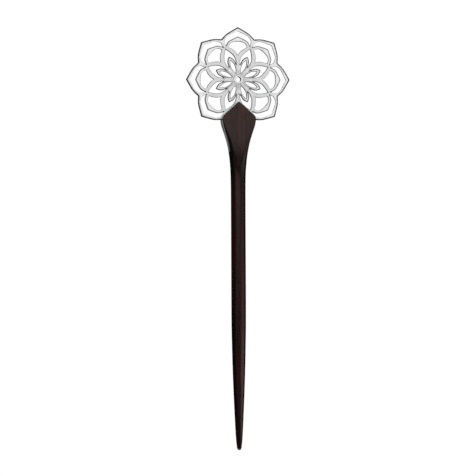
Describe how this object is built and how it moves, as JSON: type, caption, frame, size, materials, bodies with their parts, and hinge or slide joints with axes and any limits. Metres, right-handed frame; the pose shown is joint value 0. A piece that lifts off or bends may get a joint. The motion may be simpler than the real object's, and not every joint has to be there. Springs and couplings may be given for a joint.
{
  "type": "decorative hair pin",
  "caption": "Tapered dark wood hair stick with a spear-shaped slotted head that holds a pierced silver lotus disc.",
  "frame": {"origin": "under the middle of the whole object, on the plane that it lies on", "axes": "+Y along the stick from its point to the flower, +X across, +Z out of the flower's front"},
  "size_m": [0.0448, 0.18, 0.0072],
  "materials": {
    "dark_wood": "near-black ebony or black sandalwood, oiled and polished, faint reddish grain along the stick",
    "silver_plate": "polished silver-coloured metal with softly rounded strand edges and darker cut walls",
    "silver_rosette": "polished silver-coloured metal, raised on the plate",
    "silver_eyelet": "polished silver-coloured metal",
    "silver_pins": "plain silver-coloured wire, ends filed flush"
  },
  "bodies": {
    "root": {"stick": "dark_wood", "lotus_plate": "silver_plate", "rosette": "silver_rosette", "centre_eyelet": "silver_eyelet", "upper_pin": "silver_pins", "lower_pin": "silver_pins"}
  },
  "joints": []
}
